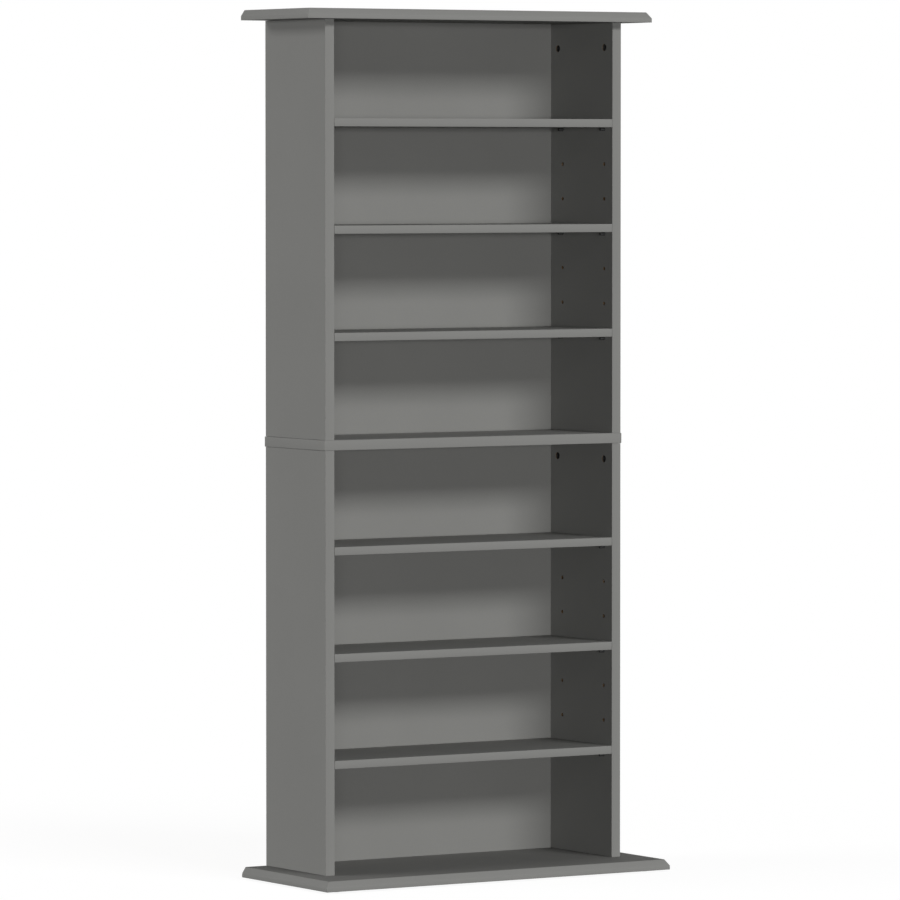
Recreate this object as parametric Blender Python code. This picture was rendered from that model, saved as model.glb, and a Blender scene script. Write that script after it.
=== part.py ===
"""A tall, shallow media rack: two open shelf units stacked on a wide base, with a board between them.

Metres. +Z is up, +Y points to the wall behind the rack, and the origin is on the floor under its middle.
Each unit has two board sides with a thin back panel in their rebates. Screws hold the sides to the board
under them, and cam locks draw them to the board over them. Three loose shelves lie on plastic pins.
"""

import math
from collections import namedtuple

import bmesh
import bpy
from mathutils import Matrix, Vector

# Body
body_width = 0.510
body_depth = 0.170
side_thickness = 0.015
shelf_thickness = 0.012

# Boards across the sides
base_thickness = 0.015
mid_thickness = 0.015
top_thickness = 0.015
base_front_overhang = 0.072
base_end_overhang = 0.041
top_front_overhang = 0.021
top_end_overhang = 0.041
mid_front_overhang = 0.0005
mid_end_overhang = 0.0015
mid_edge_radius = 0.0008

# Edge of the base and of the top: upright below, sloped above
edge_upright_height = 0.006
edge_slope_run = 0.006

# Clear heights between the shelves
shelf_clear_height = 0.1428
lowest_clear_height = 0.154
under_mid_clear_height = 0.1398
shelves_per_unit = 3

# Loose shelves
shelf_end_clearance = 0.0004
shelf_back_clearance = 0.0015

# Back panels in the rebates of the sides
back_thickness = 0.003
rebate_lap = 0.006

# Shelf pins and their columns of holes
pin_radius = 0.0025
pin_length = 0.016
pin_seat_depth = 0.0085
pin_tip_chamfer = 0.0006
pin_front_setback = 0.022
pin_rear_setback = 0.035
holes_per_pitch = 3

# Cam locks and their bolts
cam_radius = 0.005
cam_face_recess = 0.0006
wall_behind_cam = 0.0021
cam_socket_radius = 0.0026
cam_socket_depth = 0.002
cam_setback = 0.022
upper_cam_drop = 0.0367
lower_cam_drop = 0.024
bolt_radius = 0.003
bolt_grip_radius = 0.0025
bolt_grip_depth = 0.0105

# Screws up into the bottom ends of the sides
screw_beside_cam = 0.016
screw_length = 0.050
screw_radius = 0.0034
screw_tip_length = 0.004
screw_tip_radius = 0.0012
screw_head_radius = 0.005
screw_head_height = 0.004
screw_head_sink = 0.0004
screw_socket_radius = 0.002
screw_socket_depth = 0.0025

# Glides under the base
glide_height = 0.0025
glide_radius = 0.010
glide_edge_chamfer = 0.0008
glide_setback = 0.030
glide_nail_radius = 0.0013
glide_nail_length = 0.010

# Clearances
seat_gap = 0.0003
bore_gap = 0.0001
bore_end_gap = 0.0005
cut_overrun = 0.002

# Facets
pin_facets = 12
round_facets = 16
edge_round_steps = 2
merge_distance = 0.000001
smooth_angle = math.radians(35)

# Finishes: base colour, roughness, metallic
grey_melamine = ((0.225, 0.225, 0.218), 0.5, 0.0)
grey_hardboard = ((0.205, 0.205, 0.198), 0.6, 0.0)
nickel_steel = ((0.56, 0.55, 0.53), 0.3, 0.9)
dark_zinc = ((0.20, 0.20, 0.20), 0.45, 0.9)
black_plastic = ((0.03, 0.03, 0.03), 0.6, 0.0)

# Places worked out from the sizes above
half_body = body_width / 2
half_inside = half_body - side_thickness
side_middle = half_body - side_thickness / 2
overall_depth = base_front_overhang + body_depth
body_front = base_front_overhang - overall_depth / 2
body_rear = body_front + body_depth
shelf_pitch = shelf_clear_height + shelf_thickness
screw_setback = cam_setback + screw_beside_cam
cam_bore_depth = side_thickness - wall_behind_cam
cam_length = cam_bore_depth - cam_face_recess - bore_end_gap
hands = {"left": -1, "right": 1}


def rows_at(front_setback, rear_setback):
    """Two places along the depth, measured in from the front and from the rear edges of the sides."""
    return {"front": body_front + front_setback, "rear": body_rear - rear_setback}


pin_rows = rows_at(pin_front_setback, pin_rear_setback)
cam_rows = rows_at(cam_setback, cam_setback)
screw_rows = rows_at(screw_setback, screw_setback)

# A unit stands on a board whose underside is at board_bottom and whose top is at floor
Unit = namedtuple("Unit", "name board_bottom floor first_clear_height last_clear_height cam_drop first_shelf")


def shelf_levels(unit):
    """Undersides of a unit's shelves."""
    return [unit.floor + unit.first_clear_height + shelf_pitch * row for row in range(shelves_per_unit)]


def ceiling(unit):
    """Underside of the board over a unit."""
    return shelf_levels(unit)[-1] + shelf_thickness + unit.last_clear_height


base_bottom = glide_height + seat_gap
lower_unit = Unit(
    "lower",
    base_bottom,
    base_bottom + base_thickness,
    lowest_clear_height,
    under_mid_clear_height,
    lower_cam_drop,
    1,
)
mid_bottom = ceiling(lower_unit)
upper_unit = Unit(
    "upper",
    mid_bottom,
    mid_bottom + mid_thickness,
    shelf_clear_height,
    shelf_clear_height,
    upper_cam_drop,
    1 + shelves_per_unit,
)
top_bottom = ceiling(upper_unit)


def clear_scene():
    for thing in list(bpy.data.objects):
        bpy.data.objects.remove(thing, do_unlink=True)


def material(name, finish):
    colour, roughness, metallic = finish
    made = bpy.data.materials.new(name)
    made.use_nodes = True
    shader = made.node_tree.nodes["Principled BSDF"]
    shader.inputs["Base Color"].default_value = (*colour, 1.0)
    shader.inputs["Roughness"].default_value = roughness
    shader.inputs["Metallic"].default_value = metallic
    made.diffuse_color = (*colour, 1.0)
    return made


def mesh_from(shape, name, finish=None):
    """Turns a bmesh into a named mesh with its faces outwards and its round faces smooth."""
    bmesh.ops.recalc_face_normals(shape, faces=shape.faces)
    mesh = bpy.data.meshes.new(name)
    shape.to_mesh(mesh)
    shape.free()
    mesh.shade_smooth()
    mesh.set_sharp_from_angle(angle=smooth_angle)
    if finish:
        mesh.materials.append(material(name, finish))
    return mesh


def place(name, mesh, location=(0, 0, 0), turn=(0, 0, 0), parent=None):
    piece = bpy.data.objects.new(name, mesh)
    bpy.context.scene.collection.objects.link(piece)
    piece.location = location
    piece.rotation_euler = turn
    piece.parent = parent
    return piece


def combine(piece, helper, operation):
    """Cuts a helper from a piece, or joins it on. The helper isn't part of the rack itself."""
    helper.hide_render = True
    helper.display_type = "WIRE"
    step = piece.modifiers.new(helper.name, "BOOLEAN")
    step.operation = operation
    step.solver = "EXACT"
    step.object = helper


def cut(piece, bores, kind):
    """Cuts bores, which are placed in the rack's own frame, from a piece that isn't turned."""
    mesh = mesh_from(bores, piece.name + kind)
    combine(piece, place(mesh.name, mesh, -piece.location, parent=piece), "DIFFERENCE")


def add_turned(shape, profile, facets, start=(0, 0, 0), direction=(0, 0, 1)):
    """Adds a round solid: (radius, distance) points along an axis, the first and the last of them on it."""
    before = set(shape.verts)
    points = [shape.verts.new((radius, 0, distance)) for radius, distance in profile]
    edges = [shape.edges.new(pair) for pair in zip(points, points[1:])]
    bmesh.ops.spin(
        shape,
        geom=points + edges,
        cent=(0, 0, 0),
        axis=(0, 0, 1),
        angle=math.tau,
        steps=facets,
        use_merge=True,
    )
    added = [point for point in shape.verts if point not in before]
    bmesh.ops.remove_doubles(shape, verts=added, dist=merge_distance)
    added = [point for point in shape.verts if point not in before]
    turn = Vector((0, 0, 1)).rotation_difference(Vector(direction)).to_matrix().to_4x4()
    bmesh.ops.transform(shape, matrix=Matrix.Translation(start) @ turn, verts=added)


def turned(name, profile, facets, finish, direction=(0, 0, 1)):
    shape = bmesh.new()
    add_turned(shape, profile, facets, direction=direction)
    return mesh_from(shape, name, finish)


def add_bore(shape, start, direction, radius, depth, facets):
    """Adds a straight bore that begins a little outside the face that it enters."""
    profile = [(0, -cut_overrun), (radius, -cut_overrun), (radius, depth), (0, depth)]
    add_turned(shape, profile, facets, start, direction)


def slab(outline, height):
    """A solid with an outline, seen from above, that stands on level zero."""
    shape = bmesh.new()
    face = shape.faces.new([shape.verts.new((x, y, 0)) for x, y in outline])
    raised = bmesh.ops.extrude_face_region(shape, geom=[face])["geom"]
    points = [part for part in raised if isinstance(part, bmesh.types.BMVert)]
    bmesh.ops.translate(shape, vec=(0, 0, height), verts=points)
    return shape


def board_outline(width, depth):
    """A board seen from above, on the middle of its rear edge."""
    return [(-width / 2, -depth), (width / 2, -depth), (width / 2, 0), (-width / 2, 0)]


def sloped_board(name, width, depth, thickness):
    """A board whose front and ends are upright below and sloped above."""
    upright = min(edge_upright_height, thickness / 2)
    shape = slab(board_outline(width, depth), thickness)
    everything = shape.verts[:] + shape.edges[:] + shape.faces[:]
    bmesh.ops.bisect_plane(shape, geom=everything, plane_co=(0, 0, upright), plane_no=(0, 0, 1))
    for point in shape.verts:
        if point.co.z > upright + merge_distance:
            point.co.x -= math.copysign(edge_slope_run, point.co.x)
            point.co.y += edge_slope_run if point.co.y < -depth / 2 else 0
    return mesh_from(shape, name, grey_melamine)


def rounded_board(name, width, depth, thickness):
    """A board whose front and ends are rounded at the top and at the bottom."""
    shape = slab(board_outline(width, depth), thickness)
    bmesh.ops.bevel(
        shape,
        geom=[edge for edge in shape.edges if is_level(edge) and not is_at_rear(edge)],
        offset=min(mid_edge_radius, thickness / 3),
        segments=edge_round_steps,
        profile=0.5,
        affect="EDGES",
        material=-1,
    )
    return mesh_from(shape, name, grey_melamine)


def is_level(edge):
    return abs(edge.verts[0].co.z - edge.verts[1].co.z) < merge_distance


def is_at_rear(edge):
    return all(abs(point.co.y) < merge_distance for point in edge.verts)


def side_mesh(name, hand, length):
    """A side on its inner front bottom corner, with a rebate along its inner rear edge."""
    outer = hand * side_thickness
    lap = hand * rebate_lap
    land = body_depth - back_thickness - seat_gap
    outline = [(0, 0), (outer, 0), (outer, body_depth), (lap, body_depth), (lap, land), (0, land)]
    return mesh_from(slab(outline, length), name, grey_melamine)


def screw_profile(gap=0.0):
    """A countersunk screw from its head to its tip, or with a gap the bore that it fits."""
    head = screw_head_radius + gap
    shank = screw_radius + gap
    tip = screw_head_sink + screw_length
    socket_floor = screw_head_sink + screw_socket_depth
    socket = [(0, socket_floor), (screw_socket_radius, socket_floor), (screw_socket_radius, screw_head_sink)]
    mouth = [(0, -cut_overrun), (head, -cut_overrun)]
    return (mouth if gap else socket) + [
        (head, screw_head_sink),
        (shank, screw_head_sink + screw_head_height),
        (shank, tip - screw_tip_length),
        (screw_tip_radius + gap, tip + gap),
        (0, tip + gap),
    ]


def bolt_profile(drop, gap=0.0):
    """A cam bolt from its cam's axis up into the board over it, or with a gap the bore that it fits."""
    shoulder = drop - seat_gap / 2 if gap else drop - seat_gap
    end = drop + bolt_grip_depth + (bore_end_gap if gap else 0.0)
    return [
        (0, 0),
        (bolt_radius + gap, 0),
        (bolt_radius + gap, shoulder),
        (bolt_grip_radius + gap, shoulder),
        (bolt_grip_radius + gap, end),
        (0, end),
    ]


def cam_profile():
    """A cam lock along its own axis, from its inner end to the socket in its face."""
    face = side_thickness / 2 - cam_face_recess
    return [
        (0, face - cam_length),
        (cam_radius, face - cam_length),
        (cam_radius, face),
        (cam_socket_radius, face),
        (cam_socket_radius, face - cam_socket_depth),
        (0, face - cam_socket_depth),
    ]


def screw_places(unit):
    """Where the screws enter the underside of the board that a unit stands on."""
    return [
        (f"{unit.name}_{hand}_{row}_screw", (way * side_middle, depth, unit.board_bottom))
        for hand, way in hands.items()
        for row, depth in screw_rows.items()
    ]


def cam_places(unit):
    """Where the axes of a unit's cams and bolts cross, in the middle of the sides' thickness."""
    height = ceiling(unit) - unit.cam_drop
    return [
        (f"{unit.name}_{hand}_{row}_cam_lock", (way * side_middle, depth, height), way)
        for hand, way in hands.items()
        for row, depth in cam_rows.items()
    ]


def add_screw_bores(shape, unit):
    for _, location in screw_places(unit):
        add_turned(shape, screw_profile(bore_gap), round_facets, location)


def add_bolt_bores(shape, unit):
    for _, location, _ in cam_places(unit):
        add_turned(shape, bolt_profile(unit.cam_drop, bore_gap), round_facets, location)


def glide_places():
    across = half_body + base_end_overhang - glide_setback
    along = overall_depth / 2 - glide_setback
    return [
        (f"{row}_{hand}_glide", (way * across, depth, 0))
        for hand, way in hands.items()
        for row, depth in {"front": -along, "rear": along}.items()
    ]


def add_boards():
    """The base, the board between the units and the top, bored from below for what enters them."""
    base_width = body_width + 2 * base_end_overhang
    base_mesh = sloped_board("base_board", base_width, overall_depth, base_thickness)
    base = place("base_board", base_mesh, (0, body_rear, base_bottom))
    mid_width = body_width + 2 * mid_end_overhang
    mid_mesh = rounded_board("mid_board", mid_width, body_depth + mid_front_overhang, mid_thickness)
    mid = place("mid_board", mid_mesh, (0, body_rear, mid_bottom))
    top_width = body_width + 2 * top_end_overhang
    top_mesh = sloped_board("top_board", top_width, body_depth + top_front_overhang, top_thickness)
    top = place("top_board", top_mesh, (0, body_rear, top_bottom))

    bores = bmesh.new()
    add_screw_bores(bores, lower_unit)
    for _, location in glide_places():
        start = Vector(location) + Vector((0, 0, base_bottom))
        depth = glide_nail_length - seat_gap + bore_end_gap
        add_bore(bores, start, (0, 0, 1), glide_nail_radius + bore_gap, depth, round_facets)
    cut(base, bores, "_bores")

    bores = bmesh.new()
    add_bolt_bores(bores, lower_unit)
    add_screw_bores(bores, upper_unit)
    cut(mid, bores, "_bores")

    bores = bmesh.new()
    add_bolt_bores(bores, upper_unit)
    cut(top, bores, "_bores")


def pin_hole_heights(unit):
    """A column of holes at even steps, from under a unit's first shelf to under its last."""
    first = shelf_levels(unit)[0] - seat_gap - pin_radius
    step = shelf_pitch / holes_per_pitch
    return [first + step * row for row in range((shelves_per_unit - 1) * holes_per_pitch + 1)]


def add_side(unit, hand, way):
    """One side, bored across from its inner face for pins and cams, and in both ends for bolts and screws."""
    name = f"{unit.name}_{hand}_side"
    length = ceiling(unit) - unit.floor - 2 * seat_gap
    corner = (way * half_inside, body_front, unit.floor + seat_gap)
    side = place(name, side_mesh(name, way, length), corner)

    bores = bmesh.new()
    inwards = (way, 0, 0)
    for depth in pin_rows.values():
        for height in pin_hole_heights(unit):
            start = (way * half_inside, depth, height)
            add_bore(bores, start, inwards, pin_radius + bore_gap, pin_seat_depth + bore_end_gap, pin_facets)
    for depth in cam_rows.values():
        start = (way * half_inside, depth, ceiling(unit) - unit.cam_drop)
        add_bore(bores, start, inwards, cam_radius + bore_gap, cam_bore_depth, round_facets)
    cut(side, bores, "_cross_bores")

    bores = bmesh.new()
    add_bolt_bores(bores, unit)
    add_screw_bores(bores, unit)
    cut(side, bores, "_end_bores")


def add_back_panel(unit):
    name = f"{unit.name}_back_panel"
    width = 2 * (half_inside + rebate_lap - seat_gap)
    height = ceiling(unit) - unit.floor - 2 * seat_gap
    mesh = mesh_from(slab(board_outline(width, back_thickness), height), name, grey_hardboard)
    place(name, mesh, (0, body_rear, unit.floor + seat_gap))


def add_shelves(unit):
    """Loose shelves, each on four pins, flush with the front edges of the sides."""
    depth = body_depth - back_thickness - shelf_back_clearance
    outline = board_outline(2 * (half_inside - shelf_end_clearance), depth)
    for row, level in enumerate(shelf_levels(unit)):
        name = f"shelf_{unit.first_shelf + row}"
        mesh = mesh_from(slab(outline, shelf_thickness), name, grey_melamine)
        place(name, mesh, (0, body_front + depth, level))


def add_pins(unit, mesh):
    for shelf, level in enumerate(shelf_levels(unit), unit.first_shelf):
        for hand, way in hands.items():
            for row, depth in pin_rows.items():
                location = (way * half_inside, depth, level - seat_gap - pin_radius)
                place(f"shelf_{shelf}_{hand}_{row}_pin", mesh, location, (0, -way * math.pi / 2, 0))


def add_cam_locks(unit):
    """Each cam with the bolt that it grips: the bolt's upper end is screwed into the board over the unit."""
    name = f"{unit.name}_cam_lock"
    cam = turned(name, cam_profile(), round_facets, dark_zinc, (1, 0, 0))
    bolt = turned(name + "_bolt", bolt_profile(unit.cam_drop), round_facets, dark_zinc)
    for name, location, way in cam_places(unit):
        lock = place(name, cam, location, (0, 0, math.pi if way > 0 else 0))
        combine(lock, place(name + "_bolt", bolt, parent=lock), "UNION")


def add_screws(unit, mesh):
    for name, location in screw_places(unit):
        place(name, mesh, location)


def add_glides():
    """Thin round glides, each with a nail of its own up into the base."""
    profile = [
        (0, 0),
        (glide_radius - glide_edge_chamfer, 0),
        (glide_radius, glide_edge_chamfer),
        (glide_radius, glide_height),
        (glide_nail_radius, glide_height),
        (glide_nail_radius, glide_height + glide_nail_length),
        (0, glide_height + glide_nail_length),
    ]
    mesh = turned("glide", profile, round_facets, black_plastic)
    for name, location in glide_places():
        place(name, mesh, location)


def pin_mesh():
    """A plain plastic pin along Z, seated below zero and standing out above it."""
    tip = pin_length - pin_seat_depth
    profile = [
        (0, -pin_seat_depth),
        (pin_radius, -pin_seat_depth),
        (pin_radius, tip - pin_tip_chamfer),
        (pin_radius - pin_tip_chamfer, tip),
        (0, tip),
    ]
    return turned("shelf_pin", profile, pin_facets, black_plastic)


def build():
    clear_scene()
    add_boards()
    pin = pin_mesh()
    screw = turned("side_screw", screw_profile(), round_facets, nickel_steel)
    for unit in (lower_unit, upper_unit):
        for hand, way in hands.items():
            add_side(unit, hand, way)
        add_back_panel(unit)
        add_shelves(unit)
        add_pins(unit, pin)
        add_cam_locks(unit)
        add_screws(unit, screw)
    add_glides()


build()
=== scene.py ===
"""Looks of the rack: melamine boards with banded edges, hardboard backs, pins, cam locks, screws and glides.

Metres, in the rack's own frame: +Z up, +Y to the wall behind it, origin on the floor under its middle.
"""

import math

import bmesh
import bpy
from mathutils import Matrix, Vector


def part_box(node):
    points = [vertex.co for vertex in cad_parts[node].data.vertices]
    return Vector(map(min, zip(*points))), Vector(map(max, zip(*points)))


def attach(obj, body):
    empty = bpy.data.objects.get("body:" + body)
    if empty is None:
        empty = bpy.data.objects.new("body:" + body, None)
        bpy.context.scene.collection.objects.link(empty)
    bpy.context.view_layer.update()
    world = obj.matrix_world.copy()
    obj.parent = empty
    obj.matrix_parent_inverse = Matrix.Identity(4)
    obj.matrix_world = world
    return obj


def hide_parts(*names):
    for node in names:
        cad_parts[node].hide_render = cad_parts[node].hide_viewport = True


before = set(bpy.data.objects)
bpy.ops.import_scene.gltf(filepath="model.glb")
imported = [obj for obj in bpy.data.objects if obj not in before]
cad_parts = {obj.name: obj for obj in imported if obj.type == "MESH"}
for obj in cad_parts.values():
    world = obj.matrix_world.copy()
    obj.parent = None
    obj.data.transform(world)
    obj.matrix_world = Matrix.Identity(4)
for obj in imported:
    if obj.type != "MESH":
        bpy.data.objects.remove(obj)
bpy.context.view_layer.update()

# Faced boards
arris_radius = 0.0004
arris_steps = 2
band_thickness = 0.0008
glue_line = 0.00012
band_overrun = 0.0002

# Edge of the base and of the top: upright below, sloped above
edge_upright_height = 0.006
edge_slope_run = 0.006
edge_crease_radius = 0.0005
edge_crease_steps = 3

# Edge of the board between the units
mid_edge_radius = 0.0008
mid_edge_steps = 3

# Sides, with the rebates for the back panels, and the gap between a side's end and a board
rebate_lap = 0.006
back_gap = 0.0003
board_gap = 0.0003

# Bores in the boards
bore_gap = 0.0001
bore_end_gap = 0.0005
bore_facets = 24
bore_rim = 0.0002
cut_overrun = 0.002

# Shelf pins
pin_radius = 0.0025
pin_seat_depth = 0.0085
pin_tip_round = 0.0006
pin_holes_per_pitch = 3
pin_holes_per_column = 7
pin_facets = 24

# Cam locks and their bolts
cam_radius = 0.005
cam_rim = 0.0003
cam_cup_radius = 0.0043
cam_cup_depth = 0.0030
cam_cross_length = 0.0056
cam_cross_width = 0.0011
cam_cross_depth = 0.0012
cam_facets = 32
bolt_radius = 0.003
bolt_grip_radius = 0.0025
bolt_grip_depth = 0.0105
bolt_thread_pitch = 0.0015
bolt_thread_depth = 0.0004

# Foot, crest and foot of a thread's ridge, in shares of the pitch
ridge_places = (0.15, 0.5, 0.85)

# Screws into the ends of the sides
screw_head_radius = 0.005
screw_head_rim = 0.0003
screw_head_sink = 0.0004
screw_head_height = 0.004
screw_neck_radius = 0.0034
screw_neck_length = 0.010
screw_core_radius = 0.0025
screw_thread_pitch = 0.003
screw_tip_length = 0.004
screw_tip_radius = 0.0012
screw_socket_flats = 0.004
screw_socket_depth = 0.0025
screw_socket_sides = 6
screw_facets = 24

# Nails in the rear of the back panels
nail_edge_setback = 0.0030
nail_end_setback = 0.020
nails_per_edge = 7
nail_head_radius = 0.0012
nail_head_height = 0.0003
nail_head_flat_share = 0.8
nail_shank_radius = 0.0006
nail_length = 0.012
nail_point_length = 0.0015
nail_dimple_radius = 0.0016
nail_dimple_depth = 0.0006
nail_facets = 12

# Glides
glide_radius = 0.010
glide_height = 0.0025
glide_round = 0.0008
glide_arris = 0.0002
glide_recess_radius = 0.0032
glide_recess_depth = 0.0011
glide_nail_radius = 0.0013
glide_nail_point_length = 0.002
glide_facets = 32

# Head of a glide's nail. Heights and depths are from the floor of its recess
glide_head_gap = 0.0004
glide_head_rim = 0.0004
glide_head_crown_height = 0.0005
glide_head_shoulder_height = 0.0004
glide_head_edge_depth = 0.0001
glide_head_root_depth = 0.0002

# Camera at the photograph's place. Angles are in degrees, the lens and the sensor in millimetres
camera_place = (-5.2039, -8.2982, 1.0507)
camera_pitch = 2.478
camera_yaw = 32.03
camera_lens = 267.07
camera_sensor = 36.0
camera_reach = 200.0

# Studio lamps: azimuth in degrees from the front to the right, heights in metres, power in watts
lamps = {
    "front_high": {"azimuth": 10, "bottom": 11.8, "top": 18.2, "power": 6420, "glossy": True},
    "front_low": {"azimuth": -20, "bottom": 0.05, "top": 2.5, "power": 3150, "glossy": True},
    "left_high": {"azimuth": -110, "bottom": 9.0, "top": 17.7, "power": 3210, "glossy": True},
    "left_low": {"azimuth": -110, "bottom": 0.05, "top": 4.0, "power": 2380, "glossy": True},
    "right_low": {"azimuth": 95, "bottom": 0.05, "top": 1.5, "power": 4300, "glossy": False},
    "rear_low": {"azimuth": 172, "bottom": 0.05, "top": 1.5, "power": 4300, "glossy": False},
}
lamp_distance = 28.0
lamp_width = 16.8
room_light = 0.01

# Floor and background. Lift is what the floor adds to its shade where it is seen
background_white = 1.0
floor_reach = 40.0
floor_facets = 96
floor_colour = (0.15, 0.15, 0.15)
floor_lift = 0.93
floor_shadow_core = 0.5
floor_shadow_reach = 1.6

# Colours of the finishes
grey_colour = (0.235, 0.235, 0.226)
# Painted shade: the base board's level faces are a darker grey than the melamine, for the weak light on its
# upper face
base_shaded_face_colour = (0.195, 0.195, 0.187)
# Painted light: the wrapped foil is a shade lighter than the melamine, so that the sloped fronts of the base
# and the top look as bright as the upright faces
lightened_foil_colour = (0.245, 0.245, 0.236)
glue_colour = (0.075, 0.072, 0.066)
hardboard_colour = (0.215, 0.215, 0.206)
pressed_fibre_colour = (0.20, 0.115, 0.062)
chipboard_colour = (0.38, 0.25, 0.14)
dark_chip_colour = (0.20, 0.118, 0.060, 1)
middle_chip_colour = (0.41, 0.275, 0.152, 1)
light_chip_colour = (0.58, 0.42, 0.255, 1)
nickel_colour = (0.56, 0.55, 0.53)
# Near-black cam locks: a dark metal finish, darkened further as painted shade that makes the cam holes look
# black
zinc_and_shade_colour = (0.045, 0.045, 0.045)
plastic_colour = (0.03, 0.03, 0.03)

# Gloss of the finishes
grey_specular = 0.02
bare_board_specular = 0.2

# Surfaces of boards and plastic: drift and specks are shares of the tone, relief is in metres
face_surface = {
    "roughness": 0.72,
    "specular": grey_specular,
    "drift": 0.018,
    "specks": 0.035,
    "pearl_scale": 850.0,
    "relief": 0.00004,
}
band_surface = {
    "roughness": 0.52,
    "specular": grey_specular,
    "drift": 0.012,
    "specks": 0.02,
    "pearl_scale": 500.0,
    "relief": 0.00002,
}
foil_surface = {
    "roughness": 0.54,
    "specular": grey_specular,
    "drift": 0.012,
    "specks": 0.02,
    "pearl_scale": 650.0,
    "relief": 0.00003,
}
glue_surface = {
    "roughness": 0.7,
    "specular": 0.3,
    "drift": 0.1,
    "specks": 0.2,
    "pearl_scale": 900.0,
    "relief": 0.00002,
}
paint_surface = {
    "roughness": 0.66,
    "specular": 0.25,
    "drift": 0.03,
    "specks": 0.05,
    "pearl_scale": 420.0,
    "relief": 0.00007,
}
plastic_surface = {
    "roughness": 0.55,
    "specular": 0.5,
    "drift": 0.1,
    "specks": 0.2,
    "pearl_scale": 1200.0,
    "relief": 0.00002,
}
nickel_surface = {"roughness": 0.28, "mark_scale": 1800.0, "relief": 0.000008}
zinc_surface = {"roughness": 0.62, "mark_scale": 1100.0, "relief": 0.00003}

# Raw chipboard, with how its chips are drawn out along a lying and a standing board
chip_scale = 800.0
chip_relief = 0.0003
chipboard_roughness = 0.85
raw_tone = 0.85
# Bore walls are the same chipboard in a much darker tone: painted shade inside the holes
bore_shade_tone = 0.35
flat_grain = (0.4, 0.4, 1.0)
upright_grain = (1.0, 0.4, 0.4)

# Wire screen's print in the rear of the hardboard
screen_scale = 260.0
screen_relief = 0.0002
pressed_fibre_roughness = 0.8

# Places of the finishes in a board's list of materials
faced, edged, glued, raw, drilled = range(5)

# How squarely a face looks along an axis that counts as facing that way, and as level
facing = 0.9
nearly_level = 0.98

tiny = 0.000001
smooth_angle = math.radians(40)

# How the CAD solids are named. A hand's number is its way along X
hands = {"left": -1, "right": 1}
rows = ("front", "rear")
units = ("lower", "upper")
shelves_per_unit = 3
shelf_names = [f"shelf_{number + 1}" for number in range(len(units) * shelves_per_unit)]

# Outer, inner and middle planes of the right sides
half_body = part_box("lower_right_side")[1].x
half_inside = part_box("lower_right_side")[0].x
side_middle = (half_body + half_inside) / 2


def node(tree, kind, inputs=None, **settings):
    """Adds a shader node, with its settings and with each input's value or link."""
    made = tree.nodes.new(kind)
    for name, value in settings.items():
        setattr(made, name, value)
    for name, value in (inputs or {}).items():
        if isinstance(value, bpy.types.NodeSocket):
            tree.links.new(value, made.inputs[name])
        else:
            made.inputs[name].default_value = value
    return made


def maths(tree, operation, first, second=0.0, third=0.0):
    """The result of one sum on up to three values or links."""
    values = {0: first, 1: second, 2: third}
    return node(tree, "ShaderNodeMath", values, operation=operation).outputs[0]


def noise(tree, vector, scale, detail=2.0, roughness=0.5):
    """A soft noise between 0 and 1."""
    inputs = {"Vector": vector, "Scale": scale, "Detail": detail, "Roughness": roughness}
    return node(tree, "ShaderNodeTexNoise", inputs).outputs["Fac"]


def spread(tree, value, low, high, from_low=0.3, from_high=0.7):
    """Stretches a value between two limits."""
    inputs = {"Value": value, "From Min": from_low, "From Max": from_high, "To Min": low, "To Max": high}
    return node(tree, "ShaderNodeMapRange", inputs).outputs["Result"]


def new_group(name, inputs, outputs):
    """A shader node group with named inputs (name, kind, value) and outputs (name, kind)."""
    group = bpy.data.node_groups.new(name, "ShaderNodeTree")
    for label, kind, value in inputs:
        socket = group.interface.new_socket(label, in_out="INPUT", socket_type=kind)
        if value is not None:
            socket.default_value = value
    for label, kind in outputs:
        group.interface.new_socket(label, in_out="OUTPUT", socket_type=kind)
    start = group.nodes.new("NodeGroupInput").outputs
    end = group.nodes.new("NodeGroupOutput").inputs
    return group, start, end


def tinted(tree, colour, factor):
    """A colour made lighter or darker by a factor."""
    return node(tree, "ShaderNodeVectorMath", {0: colour, "Scale": factor}, operation="SCALE").outputs[0]


def make_pressed_surface():
    """A pressed or painted board surface: slow drift of tone, fine specks and a pearled relief."""
    group, start, end = new_group(
        "pressed_surface",
        [
            ("Vector", "NodeSocketVector", None),
            ("Colour", "NodeSocketColor", None),
            ("Tone Drift", "NodeSocketFloat", 0.02),
            ("Specks", "NodeSocketFloat", 0.03),
            ("Roughness", "NodeSocketFloat", 0.5),
            ("Pearl Scale", "NodeSocketFloat", 800.0),
        ],
        [("Colour", "NodeSocketColor"), ("Roughness", "NodeSocketFloat"), ("Height", "NodeSocketFloat")],
    )
    drift = spread(group, noise(group, start["Vector"], scale=4.5, detail=3.0), low=-1.0, high=1.0)
    specks = spread(group, noise(group, start["Vector"], scale=1900.0, detail=1.0), low=-1.0, high=1.0)
    tone = maths(group, "MULTIPLY_ADD", drift, start["Tone Drift"], 1.0)
    tone = maths(group, "MULTIPLY_ADD", specks, start["Specks"], tone)
    group.links.new(tinted(group, start["Colour"], tone), end["Colour"])
    patches = spread(group, noise(group, start["Vector"], scale=14.0, detail=4.0), low=-0.04, high=0.04)
    group.links.new(maths(group, "ADD", patches, start["Roughness"]), end["Roughness"])
    pearl = noise(group, start["Vector"], start["Pearl Scale"], detail=1.5, roughness=0.6)
    group.links.new(pearl, end["Height"])
    return group


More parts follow.
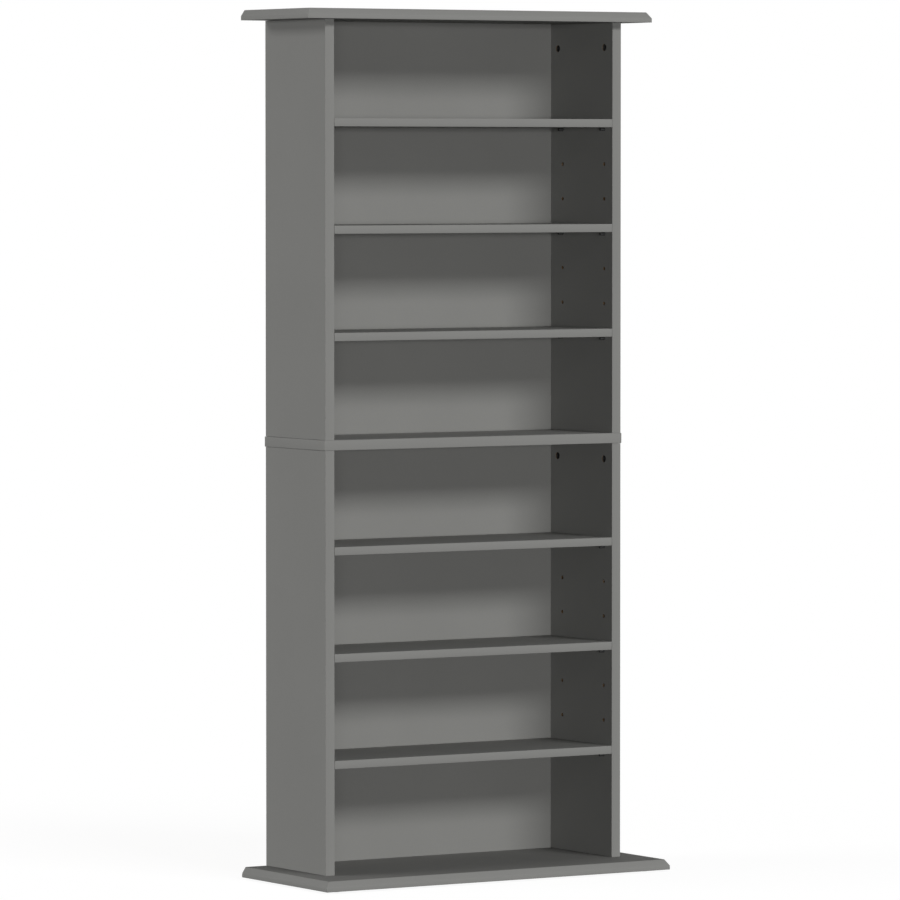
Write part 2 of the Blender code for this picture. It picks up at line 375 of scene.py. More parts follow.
def make_chip_layers():
    """Raw chipboard: flat chips of several browns, that lie along the faces of the board."""
    group, start, end = new_group(
        "chip_layers",
        [
            ("Vector", "NodeSocketVector", None),
            ("Grain", "NodeSocketVector", None),
            ("Chip Scale", "NodeSocketFloat", chip_scale),
            ("Tone", "NodeSocketFloat", 1.0),
        ],
        [("Colour", "NodeSocketColor"), ("Height", "NodeSocketFloat")],
    )
    stretched = node(group, "ShaderNodeMapping", {"Vector": start["Vector"], "Scale": start["Grain"]})
    inputs = {"Vector": stretched.outputs["Vector"], "Scale": start["Chip Scale"]}
    chips = node(group, "ShaderNodeTexVoronoi", inputs, feature="F1")
    fibres = noise(group, start["Vector"], scale=2600.0, detail=3.0)
    ramp = node(group, "ShaderNodeValToRGB", {"Fac": chips.outputs["Color"]})
    ramp.color_ramp.elements[0].color = dark_chip_colour
    ramp.color_ramp.elements[1].color = light_chip_colour
    ramp.color_ramp.elements.new(0.5).color = middle_chip_colour
    tone = maths(group, "MULTIPLY", spread(group, fibres, low=0.8, high=1.15), start["Tone"])
    group.links.new(tinted(group, ramp.outputs["Color"], tone), end["Colour"])
    depth = maths(group, "MULTIPLY_ADD", fibres, 0.5, chips.outputs["Distance"])
    group.links.new(depth, end["Height"])
    return group


def make_worked_metal():
    """Bare metal: fine handling marks, slow drift of tone and a slight unevenness."""
    group, start, end = new_group(
        "worked_metal",
        [
            ("Vector", "NodeSocketVector", None),
            ("Colour", "NodeSocketColor", None),
            ("Roughness", "NodeSocketFloat", 0.3),
            ("Mark Scale", "NodeSocketFloat", 1500.0),
        ],
        [("Colour", "NodeSocketColor"), ("Roughness", "NodeSocketFloat"), ("Height", "NodeSocketFloat")],
    )
    marks = noise(group, start["Vector"], start["Mark Scale"], detail=4.0, roughness=0.6)
    tone = spread(group, noise(group, start["Vector"], scale=300.0, detail=2.0), low=0.88, high=1.08)
    group.links.new(tinted(group, start["Colour"], tone), end["Colour"])
    patches = spread(group, marks, low=-0.07, high=0.10)
    group.links.new(maths(group, "ADD", patches, start["Roughness"]), end["Roughness"])
    group.links.new(marks, end["Height"])
    return group


def new_material(name, colour, roughness, metallic=0.0, specular=0.5):
    """A material, with its shader and its Object coordinates."""
    material = bpy.data.materials.new(name)
    material.use_nodes = True
    tree = material.node_tree
    shader = tree.nodes["Principled BSDF"]
    shader.inputs["Base Color"].default_value = (*colour, 1.0)
    shader.inputs["Roughness"].default_value = roughness
    shader.inputs["Metallic"].default_value = metallic
    shader.inputs["Specular IOR Level"].default_value = specular
    material.diffuse_color = (*colour, 1.0)
    return material, tree, shader, node(tree, "ShaderNodeTexCoord").outputs["Object"]


def use_group(tree, group, inputs):
    """Places a group in a material, with each input's value or link."""
    return node(tree, "ShaderNodeGroup", inputs, node_tree=group).outputs


def add_relief(tree, shader, height, depth):
    """Raises the surface by a height between 0 and 1 times a depth in metres."""
    bump = node(tree, "ShaderNodeBump", {"Height": height, "Distance": depth, "Strength": 1.0})
    tree.links.new(bump.outputs["Normal"], shader.inputs["Normal"])


def connect(tree, shader, outputs, relief):
    """Feeds a group's colour, roughness and height into the shader."""
    tree.links.new(outputs["Colour"], shader.inputs["Base Color"])
    if "Roughness" in outputs:
        tree.links.new(outputs["Roughness"], shader.inputs["Roughness"])
    add_relief(tree, shader, outputs["Height"], relief)


def board_material(name, colour, roughness, specular, drift, specks, pearl_scale, relief):
    """A melamine, foil, glue, paint or plastic surface."""
    material, tree, shader, vector = new_material(name, colour, roughness, specular=specular)
    values = {
        "Vector": vector,
        "Colour": (*colour, 1.0),
        "Tone Drift": drift,
        "Specks": specks,
        "Roughness": roughness,
        "Pearl Scale": pearl_scale,
    }
    connect(tree, shader, use_group(tree, pressed_surface, values), relief)
    return material


def chipboard_material(name, tone, grain):
    """Raw chipboard in a lighter or darker tone, with its chips drawn out along a board."""
    colour = tuple(tone * part for part in chipboard_colour)
    material, tree, shader, vector = new_material(
        name, colour, chipboard_roughness, specular=bare_board_specular
    )
    values = {"Vector": vector, "Grain": grain, "Chip Scale": chip_scale, "Tone": tone}
    connect(tree, shader, use_group(tree, chip_layers, values), chip_relief)
    return material


def metal_material(name, colour, roughness, mark_scale, relief):
    """A plated or cast metal surface."""
    material, tree, shader, vector = new_material(name, colour, roughness, metallic=0.9)
    values = {"Vector": vector, "Colour": (*colour, 1.0), "Roughness": roughness, "Mark Scale": mark_scale}
    connect(tree, shader, use_group(tree, worked_metal, values), relief)
    return material


def screen_pressed_material(name):
    """The rear of hardboard: brown fibres with the pattern of the wire screen that it was pressed on."""
    colour = pressed_fibre_colour
    material, tree, shader, vector = new_material(
        name, colour, pressed_fibre_roughness, specular=bare_board_specular
    )
    inputs = {"Vector": vector, "Scale": screen_scale, "Distortion": 0.6, "Detail": 1.0, "Detail Scale": 0.4}
    waves = []
    for direction in ("X", "Z"):
        wave = node(tree, "ShaderNodeTexWave", inputs, wave_type="BANDS", bands_direction=direction)
        waves.append(wave.outputs["Fac"])
    screen = maths(tree, "MULTIPLY", *waves)
    fibres = noise(tree, vector, scale=900.0, detail=4.0, roughness=0.65)
    clouds = noise(tree, vector, scale=30.0, detail=5.0, roughness=0.65)
    fibre_tone = spread(tree, fibres, low=0.72, high=1.12)
    tone = maths(tree, "ADD", fibre_tone, spread(tree, clouds, low=-0.06, high=0.06))
    tone = maths(tree, "MULTIPLY_ADD", screen, 0.16, tone)
    tree.links.new(tinted(tree, colour, tone), shader.inputs["Base Color"])
    add_relief(tree, shader, maths(tree, "MULTIPLY_ADD", fibres, 0.35, screen), screen_relief)
    return material


pressed_surface = make_pressed_surface()
chip_layers = make_chip_layers()
worked_metal = make_worked_metal()

melamine = board_material("grey_melamine_face", grey_colour, **face_surface)
# Painted shade: a darker copy of the melamine for the base board's level faces
base_shaded_face = board_material("grey_base_shaded_face", base_shaded_face_colour, **face_surface)
edge_band = board_material("grey_edge_band", grey_colour, **band_surface)
# Painted light: a lighter grey than the melamine on the wrapped fronts and ends of the base and the top
lightened_wrapped_foil = board_material("grey_wrapped_edge_lightened", lightened_foil_colour, **foil_surface)
glue = board_material("glue_line", glue_colour, **glue_surface)
flat_chipboard = chipboard_material("raw_chipboard_flat", raw_tone, flat_grain)
upright_chipboard = chipboard_material("raw_chipboard_upright", raw_tone, upright_grain)
# Painted shade: darker chipboard on the walls of every bore
shaded_bore_wall = chipboard_material("bored_chipboard_painted_shade", bore_shade_tone, flat_grain)
painted_hardboard = board_material("grey_painted_hardboard", hardboard_colour, **paint_surface)
bare_hardboard = screen_pressed_material("bare_hardboard")
nickel = metal_material("nickel_steel", nickel_colour, **nickel_surface)
# The cam locks' near-black is partly a dark finish and partly painted shade in their holes
zinc = metal_material("dark_zinc", zinc_and_shade_colour, **zinc_surface)
plastic = board_material("black_plastic", plastic_colour, **plastic_surface)


def block(low, high):
    """A plain block between two corners."""
    shape = bmesh.new()
    bmesh.ops.create_cube(shape, size=1.0)
    bmesh.ops.scale(shape, vec=high - low, verts=shape.verts)
    bmesh.ops.translate(shape, vec=(low + high) / 2, verts=shape.verts)
    return shape


def round_off(shape, edges, radius, steps):
    """Rounds some edges. Only the new faces are shaded smooth."""
    made = bmesh.ops.bevel(
        shape,
        geom=edges,
        offset=radius,
        segments=steps,
        profile=0.5,
        affect="EDGES",
        material=-1,
    )
    for face in made["faces"]:
        face.smooth = True


def slice_level(shape, place, normal):
    """Adds a loop of edges where a plane crosses the shape."""
    everything = shape.verts[:] + shape.edges[:] + shape.faces[:]
    bmesh.ops.bisect_plane(shape, geom=everything, plane_co=place, plane_no=normal, dist=tiny)


def combined(shape, other, operation):
    """One shape with another cut out of it or joined to it. Both are used up. Faces keep their numbers."""
    pair = []
    for part in (shape, other):
        bmesh.ops.recalc_face_normals(part, faces=part.faces)
        mesh = bpy.data.meshes.new("workpiece")
        part.to_mesh(mesh)
        part.free()
        for _ in range(drilled + 1):
            mesh.materials.append(None)
        pair.append(bpy.data.objects.new("workpiece", mesh))
        bpy.context.scene.collection.objects.link(pair[-1])
    step = pair[0].modifiers.new("combine", "BOOLEAN")
    step.operation = operation
    step.solver = "EXACT"
    step.object = pair[1]
    result = bmesh.new()
    result.from_object(pair[0], bpy.context.evaluated_depsgraph_get())
    bmesh.ops.remove_doubles(result, verts=result.verts, dist=tiny)
    for thing in pair:
        mesh = thing.data
        bpy.data.objects.remove(thing)
        bpy.data.meshes.remove(mesh)
    return result


def add_turned(shape, profile, facets, start=(0, 0, 0), direction=(0, 0, 1)):
    """Adds a round solid: (radius, distance) points along an axis, the first and the last of them on it."""
    before = set(shape.verts)
    points = [shape.verts.new((radius, 0, distance)) for radius, distance in profile]
    edges = [shape.edges.new(pair) for pair in zip(points, points[1:])]
    bmesh.ops.spin(
        shape,
        geom=points + edges,
        cent=(0, 0, 0),
        axis=(0, 0, 1),
        angle=math.tau,
        steps=facets,
        use_merge=True,
    )
    added = [point for point in shape.verts if point not in before]
    bmesh.ops.remove_doubles(shape, verts=added, dist=tiny)
    added = [point for point in shape.verts if point not in before]
    turn = Vector((0, 0, 1)).rotation_difference(Vector(direction)).to_matrix().to_4x4()
    bmesh.ops.transform(shape, matrix=Matrix.Translation(start) @ turn, verts=added)
    for face in {face for point in added for face in point.link_faces}:
        face.smooth = True


def turned(profile, facets, start=(0, 0, 0), direction=(0, 0, 1)):
    """A round solid by itself."""
    shape = bmesh.new()
    add_turned(shape, profile, facets, start, direction)
    return shape


def facing_inwards(way):
    """The turn that makes a piece of a right side one of the side that lies that way."""
    return Matrix.Rotation(0 if way > 0 else math.pi, 4, "Z")


def placed_copy(shape, place, turn=None):
    """A copy of a shape that was made at the origin, turned and moved to its place."""
    copy = shape.copy()
    matrix = Matrix.Translation(place) @ (turn or Matrix.Identity(4))
    bmesh.ops.transform(copy, matrix=matrix, verts=copy.verts)
    return copy


def finish_piece(name, shape, materials, body, nodes):
    """Makes a piece from a shape. Each face keeps the number of its material in the list."""
    bmesh.ops.recalc_face_normals(shape, faces=shape.faces)
    mesh = bpy.data.meshes.new(name)
    shape.to_mesh(mesh)
    shape.free()
    mesh.set_sharp_from_angle(angle=smooth_angle)
    for material in materials:
        mesh.materials.append(material)
    piece = bpy.data.objects.new(name, mesh)
    bpy.context.scene.collection.objects.link(piece)
    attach(piece, body)
    if nodes:
        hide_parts(*nodes)
    return piece


def middle(name):
    """The middle of a CAD solid's box."""
    low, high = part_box(name)
    return (low + high) / 2


def is_level(edge):
    """Whether an edge runs level."""
    return abs(edge.verts[0].co.z - edge.verts[1].co.z) < tiny


def is_at_rear(edge, rear):
    """Whether an edge lies in a board's rear face."""
    return all(abs(point.co.y - rear) < tiny for point in edge.verts)


def round_seen_edges(shape, rear, radius, steps):
    """Rounds every edge of a board except those round its rear face."""
    seen = [edge for edge in shape.edges if not is_at_rear(edge, rear)]
    round_off(shape, seen, radius, steps)


def slice_band(shape, front):
    """Adds the edges of the band along a board's front and of the glue behind it."""
    for depth in (band_thickness, band_thickness + glue_line):
        slice_level(shape, (0, front + depth, 0), (0, 1, 0))


def number_faces(shape, number):
    """Gives every face of a shape the same finish."""
    for face in shape.faces:
        face.material_index = number


def choose_wrapped_finish(shape):
    """Numbers the faces of a board whose front and ends are wrapped and whose rear is raw."""
    for face in shape.faces:
        if face.normal.y > facing:
            face.material_index = raw
        else:
            face.material_index = edged if abs(face.normal.z) < nearly_level else faced


def choose_banded_finish(shape, low, end_axis, end_finish):
    """Numbers the faces of a board with a band along its front, a raw rear, and ends across an axis."""
    seam = low.y + band_thickness
    for face in shape.faces:
        depth = face.calc_center_median().y
        if face.normal.y > facing:
            face.material_index = raw
        elif depth < seam:
            face.material_index = edged
        elif depth < seam + glue_line:
            face.material_index = glued
        else:
            face.material_index = end_finish if abs(face.normal[end_axis]) > facing else faced


def screw_bore_profile():
    """A countersunk bore a little wider and deeper than its screw, which lies sunk in it."""
    head = screw_head_radius + bore_gap
    neck = screw_neck_radius + bore_gap
    low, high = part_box("lower_left_front_screw")
    end = screw_head_sink + (high.z - low.z) + bore_end_gap
    return [
        (0, -cut_overrun),
        (head, -cut_overrun),
        (head, screw_head_sink),
        (neck, screw_head_sink + screw_head_height),
        (neck, end),
        (0, end),
    ]


def screw_names(unit):
    """The screws at the foot of a unit."""
    return [f"{unit}_{hand}_{row}_screw" for hand in hands for row in rows]


def cam_names(unit):
    """The cam locks at the head of a unit."""
    return [f"{unit}_{hand}_{row}_cam_lock" for hand in hands for row in rows]


def add_screw_bores(shape, unit):
    """From under a board up into the bottom ends of the sides that stand on it."""
    for name in screw_names(unit):
        start = (middle(name).x, middle(name).y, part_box(name)[0].z - screw_head_sink)
        add_turned(shape, screw_bore_profile(), bore_facets, start)


def cam_axis(name):
    """Where the axis of a cam lock crosses the axis of its bolt."""
    way = hands[name.split("_")[1]]
    return Vector((way * side_middle, middle(name).y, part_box(name)[0].z + cam_radius))


def add_bolt_bores(shape, unit):
    """From each cam lock up through the end of the side and into the board over it."""
    for name in cam_names(unit):
        start = cam_axis(name)
        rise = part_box(f"{unit}_left_side")[1].z + board_gap - start.z
        end = rise + bolt_grip_depth + bore_end_gap
        profile = [
            (0, 0),
            (bolt_radius + bore_gap, 0),
            (bolt_radius + bore_gap, rise - board_gap / 2),
            (bolt_grip_radius + bore_gap, rise - board_gap / 2),
            (bolt_grip_radius + bore_gap, end),
            (0, end),
        ]
        add_turned(shape, profile, bore_facets, start)


def rimmed_bore_profile(radius, depth):
    """A straight bore whose mouth is broken by a small rim."""
    return [
        (0, -cut_overrun),
        (radius + bore_rim + cut_overrun, -cut_overrun),
        (radius, bore_rim),
        (radius, depth),
        (0, depth),
    ]


def make_shelf(name, body):
    """A loose shelf: faced above and below, banded at the front, raw at its ends and rear."""
    low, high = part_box(name)
    shape = block(low, high)
    along = [edge for edge in shape.edges if abs(edge.verts[0].co.x - edge.verts[1].co.x) > tiny]
    round_off(shape, along, arris_radius, arris_steps)
    slice_band(shape, low.y)
    shape.normal_update()
    choose_banded_finish(shape, low, 0, raw)
    materials = [melamine, edge_band, glue, flat_chipboard]
    finish_piece(f"{name}_faced", shape, materials, body, [name])


def sloped_block(low, high):
    """A board whose front and ends are upright below and sloped above."""
    shape = block(low, high)
    crease = low.z + edge_upright_height
    slice_level(shape, (0, 0, crease), (0, 0, 1))
    centre_line = (low.y + high.y) / 2
    for point in shape.verts:
        if point.co.z > crease + tiny:
            point.co.x -= math.copysign(edge_slope_run, point.co.x)
            point.co.y += edge_slope_run if point.co.y < centre_line else 0
    return shape


def shaped_board(name, shape, bores, face_material, edge_material):
    """Finishes a board that lies across the rack: bores it from below and gives every face its finish."""
    shape.normal_update()
    choose_wrapped_finish(shape)
    number_faces(bores, drilled)
    shape = combined(shape, bores, "DIFFERENCE")
    materials = [face_material, edge_material, glue, flat_chipboard, shaded_bore_wall]
    finish_piece(f"{name}_faced", shape, materials, "carcass", [name])


def make_base_board():
    """The wide board that the rack stands on, bored for the lower sides' screws and the glides' nails."""
    low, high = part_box("base_board")
    shape = sloped_block(low, high)
    round_seen_edges(shape, high.y, edge_crease_radius, edge_crease_steps)
    bores = bmesh.new()
    add_screw_bores(bores, "lower")
    for row in rows:
        for hand in hands:
            place = middle(f"{row}_{hand}_glide")
            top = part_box(f"{row}_{hand}_glide")[1].z
            bore = glide_nail_radius + bore_gap
            profile = [(0, -cut_overrun), (bore, -cut_overrun), (bore, top - low.z), (0, top - low.z)]
            add_turned(bores, profile, bore_facets, (place.x, place.y, low.z))
    shaped_board("base_board", shape, bores, base_shaded_face, lightened_wrapped_foil)


def make_mid_board():
    """The board between the units, screwed to the upper one and held down on the lower one by its bolts."""
    low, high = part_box("mid_board")
    shape = block(low, high)
    round_seen_edges(shape, high.y, mid_edge_radius, mid_edge_steps)
    bores = bmesh.new()
    add_screw_bores(bores, "upper")
    add_bolt_bores(bores, "lower")
    shaped_board("mid_board", shape, bores, melamine, edge_band)


def make_top_board():
    """The overhanging board on top, held down by the bolts of the upper unit."""
    low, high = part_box("top_board")
    shape = sloped_block(low, high)
    round_seen_edges(shape, high.y, edge_crease_radius, edge_crease_steps)
    bores = bmesh.new()
    add_bolt_bores(bores, "upper")
    shaped_board("top_board", shape, bores, melamine, lightened_wrapped_foil)


def pin_hole_heights(unit):
    """A column of holes at even steps, from the lowest shelf's pins to the highest shelf's."""
    first = units.index(unit) * shelves_per_unit
    lowest, next_one = (middle(f"{shelf}_left_front_pin").z for shelf in shelf_names[first:first + 2])
    step = (next_one - lowest) / pin_holes_per_pitch
    return [lowest + step * row for row in range(pin_holes_per_column)]


def side_blank(low, high):
    """A side before it is cut. Its front band stands a hair past both ends and closes the joints."""
    shape = block(low, high)
    upright = [edge for edge in shape.edges if not is_level(edge)]
    round_off(shape, upright, arris_radius, arris_steps)
    slice_band(shape, low.y)
    waist = (low.z + high.z) / 2
    for point in shape.verts:
        if point.co.y < low.y + band_thickness + tiny:
            point.co.z += band_overrun if point.co.z > waist else -band_overrun
    shape.normal_update()
    choose_banded_finish(shape, low, 2, edged)
    return shape


def side_rebate(unit, low, high, way):
    """What is cut out of the rear edge of a side, for the back panel."""
    inner = way * half_inside
    across = (inner - way * cut_overrun, inner + way * rebate_lap)
    panel_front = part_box(f"{unit}_back_panel")[0].y
    rebate = block(
        Vector((min(across), panel_front - back_gap, low.z - cut_overrun)),
        Vector((max(across), high.y + cut_overrun, high.z + cut_overrun)),
    )
    number_faces(rebate, raw)
    return rebate


def inner_bores(unit, hand, way):
    """The pin holes and the cam holes in the inner face of a side."""
    bores = bmesh.new()
    inner = way * half_inside
    inwards = (way, 0, 0)
    pin_bore = rimmed_bore_profile(pin_radius + bore_gap, pin_seat_depth + bore_end_gap)
    for row in rows:
        depth = middle(f"shelf_1_{hand}_{row}_pin").y
        for height in pin_hole_heights(unit):
            add_turned(bores, pin_bore, bore_facets, (inner, depth, height), inwards)
    for row in rows:
        cam = f"{unit}_{hand}_{row}_cam_lock"
        axis = cam_axis(cam)
        outer_end = max(abs(corner.x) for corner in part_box(cam))
        cam_bore = rimmed_bore_profile(cam_radius + bore_gap, outer_end - half_inside + bore_end_gap)
        add_turned(bores, cam_bore, cam_facets, (inner, axis.y, axis.z), inwards)
    number_faces(bores, drilled)
    return bores


def end_bores(unit):
    """The bolt holes in the top ends of a unit's sides, and the screw holes in their bottom ends."""
    bores = bmesh.new()
    add_bolt_bores(bores, unit)
    add_screw_bores(bores, unit)
    number_faces(bores, drilled)
    return bores


def make_side(unit, hand, way):
    """A side: faced on both sides, banded at the front, with a rebate at the rear and bored from inside."""
    name = f"{unit}_{hand}_side"
    low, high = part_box(name)
    shape = side_blank(low, high)
    for cut in (side_rebate(unit, low, high, way), inner_bores(unit, hand, way), end_bores(unit)):
        shape = combined(shape, cut, "DIFFERENCE")
    materials = [melamine, edge_band, glue, upright_chipboard, shaded_bore_wall]
    finish_piece(f"{name}_faced", shape, materials, "carcass", [name])


def nail_places(unit):
    """Along both upright edges of a back panel, over the rebates of the sides."""
    low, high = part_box(f"{unit}_back_panel")
    bottom = low.z + nail_end_setback
    step = (high.z - low.z - 2 * nail_end_setback) / (nails_per_edge - 1)
    edges = (low.x + nail_edge_setback, high.x - nail_edge_setback)
    return [(across, high.y, bottom + step * row) for across in edges for row in range(nails_per_edge)]


def dimple_profile():
    """What a sunk nail head presses out of the hardboard."""
    return [
        (0, -cut_overrun),
        (nail_dimple_radius, -cut_overrun),
        (nail_dimple_radius, 0),
        (nail_head_radius, nail_dimple_depth),
        (0, nail_dimple_depth),
    ]


def nail_profile():
    """A small nail with a flat head, sunk to the bottom of its dimple."""
    head = nail_dimple_depth - nail_head_height
    return [
        (0, head),
        (nail_head_radius * nail_head_flat_share, head),
        (nail_head_radius, head + nail_head_height / 2),
        (nail_head_radius, head + nail_head_height),
        (nail_shank_radius, head + nail_head_height),
        (nail_shank_radius, nail_length - nail_point_length),
        (0, nail_length),
    ]


def make_back_panel(unit):
    """Hardboard, painted grey on the side that faces forwards, with nails sunk in small dimples behind."""
    name = f"{unit}_back_panel"
    low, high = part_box(name)
    low.z -= board_gap
    high.z += board_gap
    shape = block(low, high)
    dimples = bmesh.new()
    nails = bmesh.new()
    for place in nail_places(unit):
        add_turned(dimples, dimple_profile(), bore_facets, place, (0, -1, 0))
        add_turned(nails, nail_profile(), nail_facets, place, (0, -1, 0))
    painted, bare = range(2)
    shape.normal_update()
    for face in shape.faces:
        face.material_index = painted if face.normal.y < -facing else bare
    number_faces(dimples, bare)
    shape = combined(shape, dimples, "DIFFERENCE")
    materials = [painted_hardboard, bare_hardboard]
    finish_piece(f"{name}_pressed", shape, materials, "carcass", [name])
    finish_piece(f"{name}_nails", nails, [nickel], "carcass", [])


def pin_shape():
    """A plain plastic pin along X, on the face of its side, with rounded ends. It points towards -X."""
    low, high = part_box("shelf_1_right_front_pin")
    tip = high.x - low.x - pin_seat_depth
    corner = pin_tip_round * (1 - math.sqrt(0.5))
    profile = [
        (0, -pin_seat_depth),
        (pin_radius - pin_tip_round, -pin_seat_depth),
        (pin_radius, -pin_seat_depth + pin_tip_round),
        (pin_radius, tip - pin_tip_round),
        (pin_radius - corner, tip - corner),
        (pin_radius - pin_tip_round, tip),
        (0, tip),
    ]
    return turned(profile, pin_facets, direction=(-1, 0, 0))


def make_pins():
    """Four pins under each shelf."""
    shape = pin_shape()
    for shelf in shelf_names:
        for hand, way in hands.items():
            for row in rows:
                name = f"{shelf}_{hand}_{row}_pin"
                place = (way * half_inside, middle(name).y, middle(name).z)
                pin = placed_copy(shape, place, facing_inwards(way))
                finish_piece(f"{name}_moulded", pin, [plastic], "carcass", [name])
    shape.free()


def threaded(radius, depth, start, end, pitch):
    """The outline of a row of thread ridges along a shank, from one end to the other."""
    root = radius - depth
    points = []
    for ridge in range(int((end - start) / pitch)):
        for reach, place in zip((root, radius, root), ridge_places):
            points.append((reach, start + pitch * (ridge + place)))
    return points


def cam_body(face, back):
    """A cam lock along X that faces -X, with a deep cup in its face and a cross recess in the cup."""
    profile = [
        (0, back),
        (cam_radius - cam_rim, back),
        (cam_radius, back + cam_rim),
        (cam_radius, face - cam_rim),
        (cam_radius - cam_rim, face),
        (cam_cup_radius + cam_rim, face),
        (cam_cup_radius, face - cam_rim),
        (cam_cup_radius, face - cam_cup_depth),
        (0, face - cam_cup_depth),
    ]
    shape = turned(profile, cam_facets, direction=(-1, 0, 0))
    centre = Vector((-face + cam_cup_depth + cam_cross_depth - cut_overrun, 0, 0))
    for length, width in ((cam_cross_length, cam_cross_width), (cam_cross_width, cam_cross_length)):
        half = Vector((cut_overrun, length / 2, width / 2))
        shape = combined(shape, block(centre - half, centre + half), "DIFFERENCE")
    return shape


def bolt_shape(shoulder, tip):
    """The bolt that a cam lock grips, from the cam's middle upwards: a plain shank and a threaded grip."""
    root = bolt_grip_radius - bolt_thread_depth
    thread_start = shoulder + bolt_thread_pitch / 2
    profile = [(0, 0), (bolt_radius, 0), (bolt_radius, shoulder), (root, shoulder)]
    profile += threaded(bolt_grip_radius, bolt_thread_depth, thread_start, tip, bolt_thread_pitch)
    profile += [(root, tip), (0, tip)]
    return turned(profile, bore_facets)


def cam_shape(unit):
    """A cam lock and its bolt, as on the right side, with the origin where their axes cross."""
    name = f"{unit}_right_front_cam_lock"
    low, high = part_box(name)
    axis = cam_axis(name)
    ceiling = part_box(f"{unit}_left_side")[1].z + board_gap
    cam = cam_body(face=axis.x - low.x, back=axis.x - high.x)
    bolt = bolt_shape(shoulder=ceiling - board_gap - axis.z, tip=high.z - axis.z)
    return combined(cam, bolt, "UNION")


def make_cam_locks(unit):
    """Two cam locks at the top end of each side of a unit."""
    shape = cam_shape(unit)
    for name in cam_names(unit):
        lock = placed_copy(shape, cam_axis(name), facing_inwards(cam_axis(name).x))
        finish_piece(f"{name}_cast", lock, [zinc], "carcass", [name])
    shape.free()


def screw_shape():
    """A countersunk screw that points up, with a hexagon socket, a plain neck and a coarse thread."""
    low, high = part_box("lower_left_front_screw")
    tip = high.z - low.z
    neck_end = screw_head_height + screw_neck_length
    thread_end = tip - screw_tip_length
    thread_depth = screw_neck_radius - screw_core_radius
    profile = [
        (0, 0),
        (screw_head_radius - screw_head_rim, 0),
        (screw_head_radius, screw_head_rim),
        (screw_neck_radius, screw_head_height),
        (screw_neck_radius, neck_end),
    ]
    profile += threaded(screw_neck_radius, thread_depth, neck_end, thread_end, screw_thread_pitch)
    profile += [(screw_core_radius, thread_end), (screw_tip_radius, tip), (0, tip)]
    shape = turned(profile, screw_facets)
    socket = bmesh.new()
    corner_radius = screw_socket_flats / math.sqrt(3)
    bmesh.ops.create_cone(
        socket,
        cap_ends=True,
        segments=screw_socket_sides,
        radius1=corner_radius,
        radius2=corner_radius,
        depth=2 * screw_socket_depth,
    )
    return combined(shape, socket, "DIFFERENCE")


def make_screws():
    """Two screws into the bottom end of each side."""
    shape = screw_shape()
    for unit in units:
        for name in screw_names(unit):
            place = (middle(name).x, middle(name).y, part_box(name)[0].z)
            screw = placed_copy(shape, place)
            finish_piece(f"{name}_plated", screw, [nickel], "carcass", [name])
    shape.free()


def glide_disc_profile():
    """A round glide with a recess below, for the head of its nail."""
    corner = glide_round * (1 - math.sqrt(0.5))
    return [
        (0, glide_recess_depth),
        (glide_recess_radius, glide_recess_depth),
        (glide_recess_radius, glide_arris),
        (glide_recess_radius + glide_arris, 0),
        (glide_radius - glide_round, 0),
        (glide_radius - corner, corner),
        (glide_radius, glide_round),
        (glide_radius, glide_height - glide_arris),
        (glide_radius - glide_arris, glide_height),
        (0, glide_height),
    ]


def glide_nail_profile():
    """The nail through a glide, with a low crowned head."""
    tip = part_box("front_left_glide")[1].z
    head_radius = glide_recess_radius - glide_head_gap
    return [
        (0, glide_recess_depth - glide_head_crown_height),
        (head_radius - glide_head_rim, glide_recess_depth - glide_head_shoulder_height),
        (head_radius, glide_recess_depth + glide_head_edge_depth),
        (glide_nail_radius, glide_recess_depth + glide_head_root_depth),
        (glide_nail_radius, tip - glide_nail_point_length),
        (0, tip),
    ]


def make_glides():
    """Round plastic glides, each with a nail whose head lies in a recess."""
    materials = [plastic, nickel]
    shape = turned(glide_disc_profile(), glide_facets)
    disc_faces = len(shape.faces)
    add_turned(shape, glide_nail_profile(), bore_facets)
    shape.faces.ensure_lookup_table()
    for face in shape.faces[disc_faces:]:
        face.material_index = materials.index(nickel)
    for row in rows:
        for hand in hands:
            name = f"{row}_{hand}_glide"
            glide = placed_copy(shape, (middle(name).x, middle(name).y, 0))
            finish_piece(f"{name}_moulded", glide, materials, "carcass", [name])
    shape.free()


def add_camera():
    """A camera that stands where the photograph was taken."""
    camera = bpy.data.cameras.new("photograph_view")
    camera.lens = camera_lens
    camera.sensor_width = camera_sensor
    camera.clip_end = camera_reach
    thing = bpy.data.objects.new("photograph_view", camera)
    thing.location = camera_place
    thing.rotation_euler = (math.radians(90 - camera_pitch), 0, math.radians(-camera_yaw))
    bpy.context.scene.collection.objects.link(thing)
    bpy.context.scene.camera = thing


def add_softbox(name, azimuth, bottom, top, power, glossy):
    """An upright softbox that faces the rack. Not glossy: no surface shows its reflection."""
    light = bpy.data.lights.new(name, "AREA")
    light.shape = "RECTANGLE"
    light.size = lamp_width
    light.size_y = top - bottom
    light.energy = power
    thing = bpy.data.objects.new(name, light)
    angle = math.radians(azimuth)
    across = Vector((math.sin(angle), -math.cos(angle), 0))
    thing.location = across * lamp_distance + Vector((0, 0, (top + bottom) / 2))
    thing.rotation_euler = (math.radians(90), 0, angle)
    thing.visible_camera = False
    thing.visible_glossy = glossy
    bpy.context.scene.collection.objects.link(thing)


def seen_directly(tree):
    """1 where the background is seen directly, in a reflection or through glass, and 0 where it lights."""
    path = node(tree, "ShaderNodeLightPath").outputs
    seen = maths(tree, "MAXIMUM", path["Is Camera Ray"], path["Is Glossy Ray"])
    return maths(tree, "MAXIMUM", seen, path["Is Transmission Ray"])


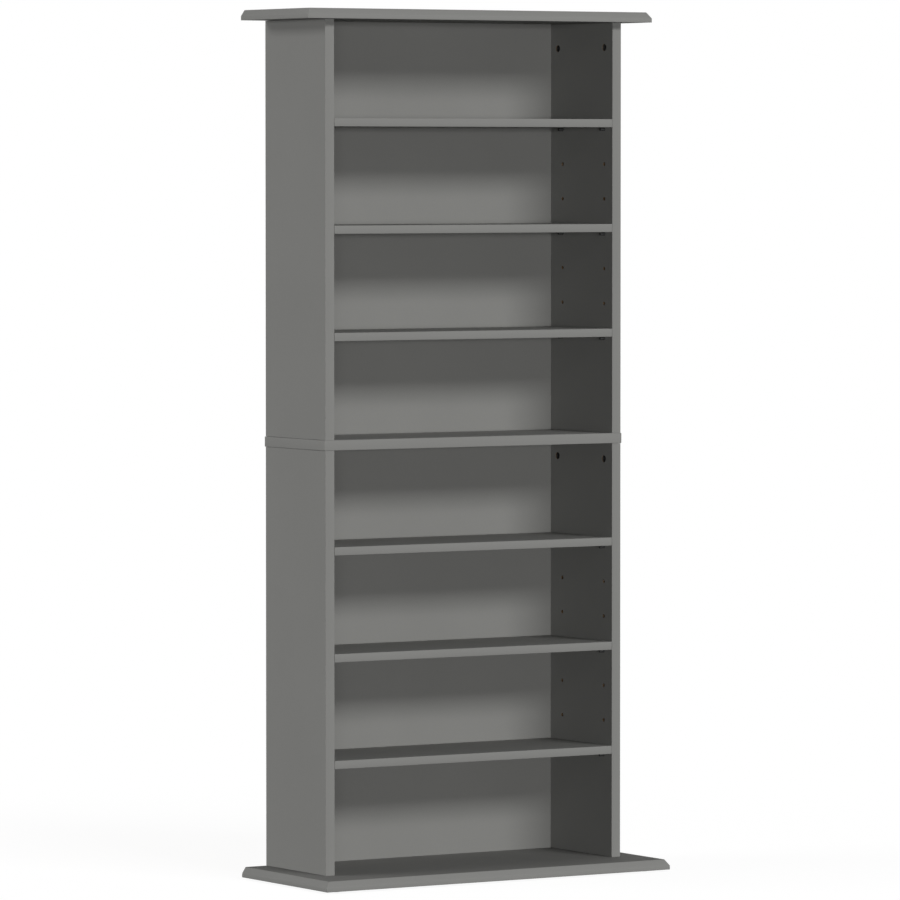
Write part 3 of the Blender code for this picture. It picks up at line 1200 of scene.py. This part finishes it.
def add_room():
    """A world that is white where it is seen and adds very little light."""
    world = bpy.data.worlds.new("white_room")
    bpy.context.scene.world = world
    world.use_nodes = True
    tree = world.node_tree
    tree.nodes.clear()
    light = node(tree, "ShaderNodeBackground", {"Color": (1, 1, 1, 1), "Strength": room_light})
    white = node(tree, "ShaderNodeBackground", {"Color": (1, 1, 1, 1), "Strength": background_white})
    shaders = {0: seen_directly(tree), 1: light.outputs[0], 2: white.outputs[0]}
    mixed = node(tree, "ShaderNodeMixShader", shaders)
    node(tree, "ShaderNodeOutputWorld", {"Surface": mixed.outputs[0]})


def add_floor():
    """A plain pale floor that keeps the shadow near the rack and is white far from it."""
    shape = bmesh.new()
    bmesh.ops.create_circle(shape, cap_ends=True, segments=floor_facets, radius=floor_reach)
    mesh = bpy.data.meshes.new("studio_floor")
    shape.to_mesh(mesh)
    shape.free()
    material = bpy.data.materials.new("white_floor")
    material.use_nodes = True
    tree = material.node_tree
    tree.nodes.clear()
    lit = node(tree, "ShaderNodeBsdfDiffuse", {"Color": (*floor_colour, 1)})
    seen = seen_directly(tree)
    lift = node(tree, "ShaderNodeEmission", {"Strength": maths(tree, "MULTIPLY", seen, floor_lift)})
    near = node(tree, "ShaderNodeAddShader", {0: lit.outputs[0], 1: lift.outputs[0]})
    far = node(tree, "ShaderNodeEmission", {"Strength": background_white})
    place = node(tree, "ShaderNodeTexCoord").outputs["Object"]
    reach = node(tree, "ShaderNodeVectorMath", {0: place}, operation="LENGTH").outputs["Value"]
    inputs = {"Value": reach, "From Min": floor_shadow_core, "From Max": floor_shadow_reach}
    fade = node(tree, "ShaderNodeMapRange", inputs, interpolation_type="SMOOTHSTEP").outputs["Result"]
    factor = maths(tree, "MULTIPLY", fade, seen)
    mixed = node(tree, "ShaderNodeMixShader", {0: factor, 1: near.outputs[0], 2: far.outputs[0]})
    node(tree, "ShaderNodeOutputMaterial", {"Surface": mixed.outputs[0]})
    mesh.materials.append(material)
    floor = bpy.data.objects.new("studio_floor", mesh)
    bpy.context.scene.collection.objects.link(floor)


make_base_board()
make_mid_board()
make_top_board()
for unit in units:
    for hand, way in hands.items():
        make_side(unit, hand, way)
    make_back_panel(unit)
    make_cam_locks(unit)
for shelf in shelf_names:
    make_shelf(shelf, f"loose_{shelf}")
make_pins()
make_screws()
make_glides()

add_camera()
for name, values in lamps.items():
    add_softbox(name, **values)
add_room()
add_floor()
bpy.context.scene.view_settings.view_transform = "Standard"
